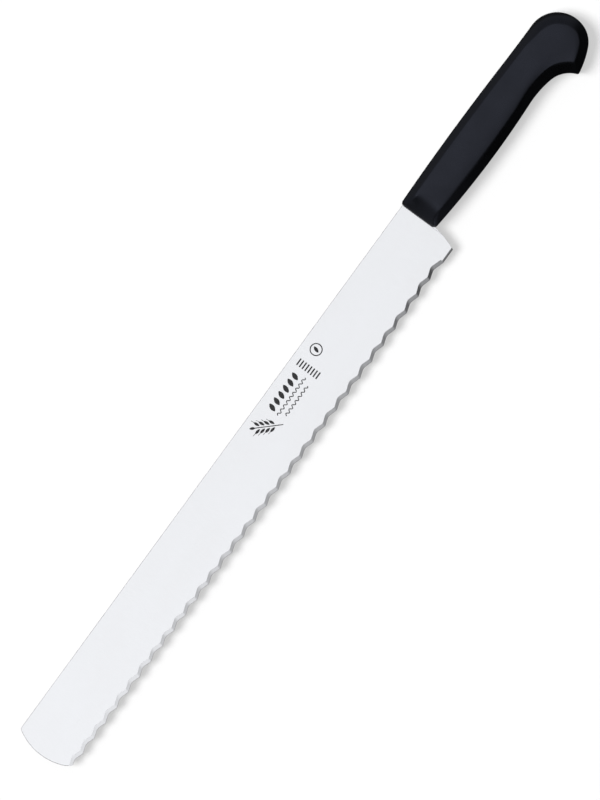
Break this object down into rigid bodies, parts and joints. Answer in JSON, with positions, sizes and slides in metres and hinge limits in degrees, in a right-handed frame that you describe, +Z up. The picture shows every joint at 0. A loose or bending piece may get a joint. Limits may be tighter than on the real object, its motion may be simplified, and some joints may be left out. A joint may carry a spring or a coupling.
{
  "type": "bread knife",
  "caption": "Long bakery knife with a wide scalloped blade, blunt round tip and a moulded black plastic handle that ends in a hooked pommel.",
  "frame": {"origin": "centre of the footprint, on the surface that the flat side of the handle lies on", "axes": "+X from the handle to the tip, +Y from the spine to the cutting edge, +Z up out of the blade's ground and marked side"},
  "size_m": [0.4852, 0.038, 0.018],
  "materials": {
    "blade_steel": "fine satin polish along the blade, bright ground bevel on one side of the edge",
    "handle_plastic": "black moulded plastic, satin with a fine grain",
    "mark_ink": "dark etched mark on the blade's ground side"
  },
  "bodies": {
    "root": {"blade": "blade_steel", "handle": "handle_plastic"}
  },
  "joints": []
}
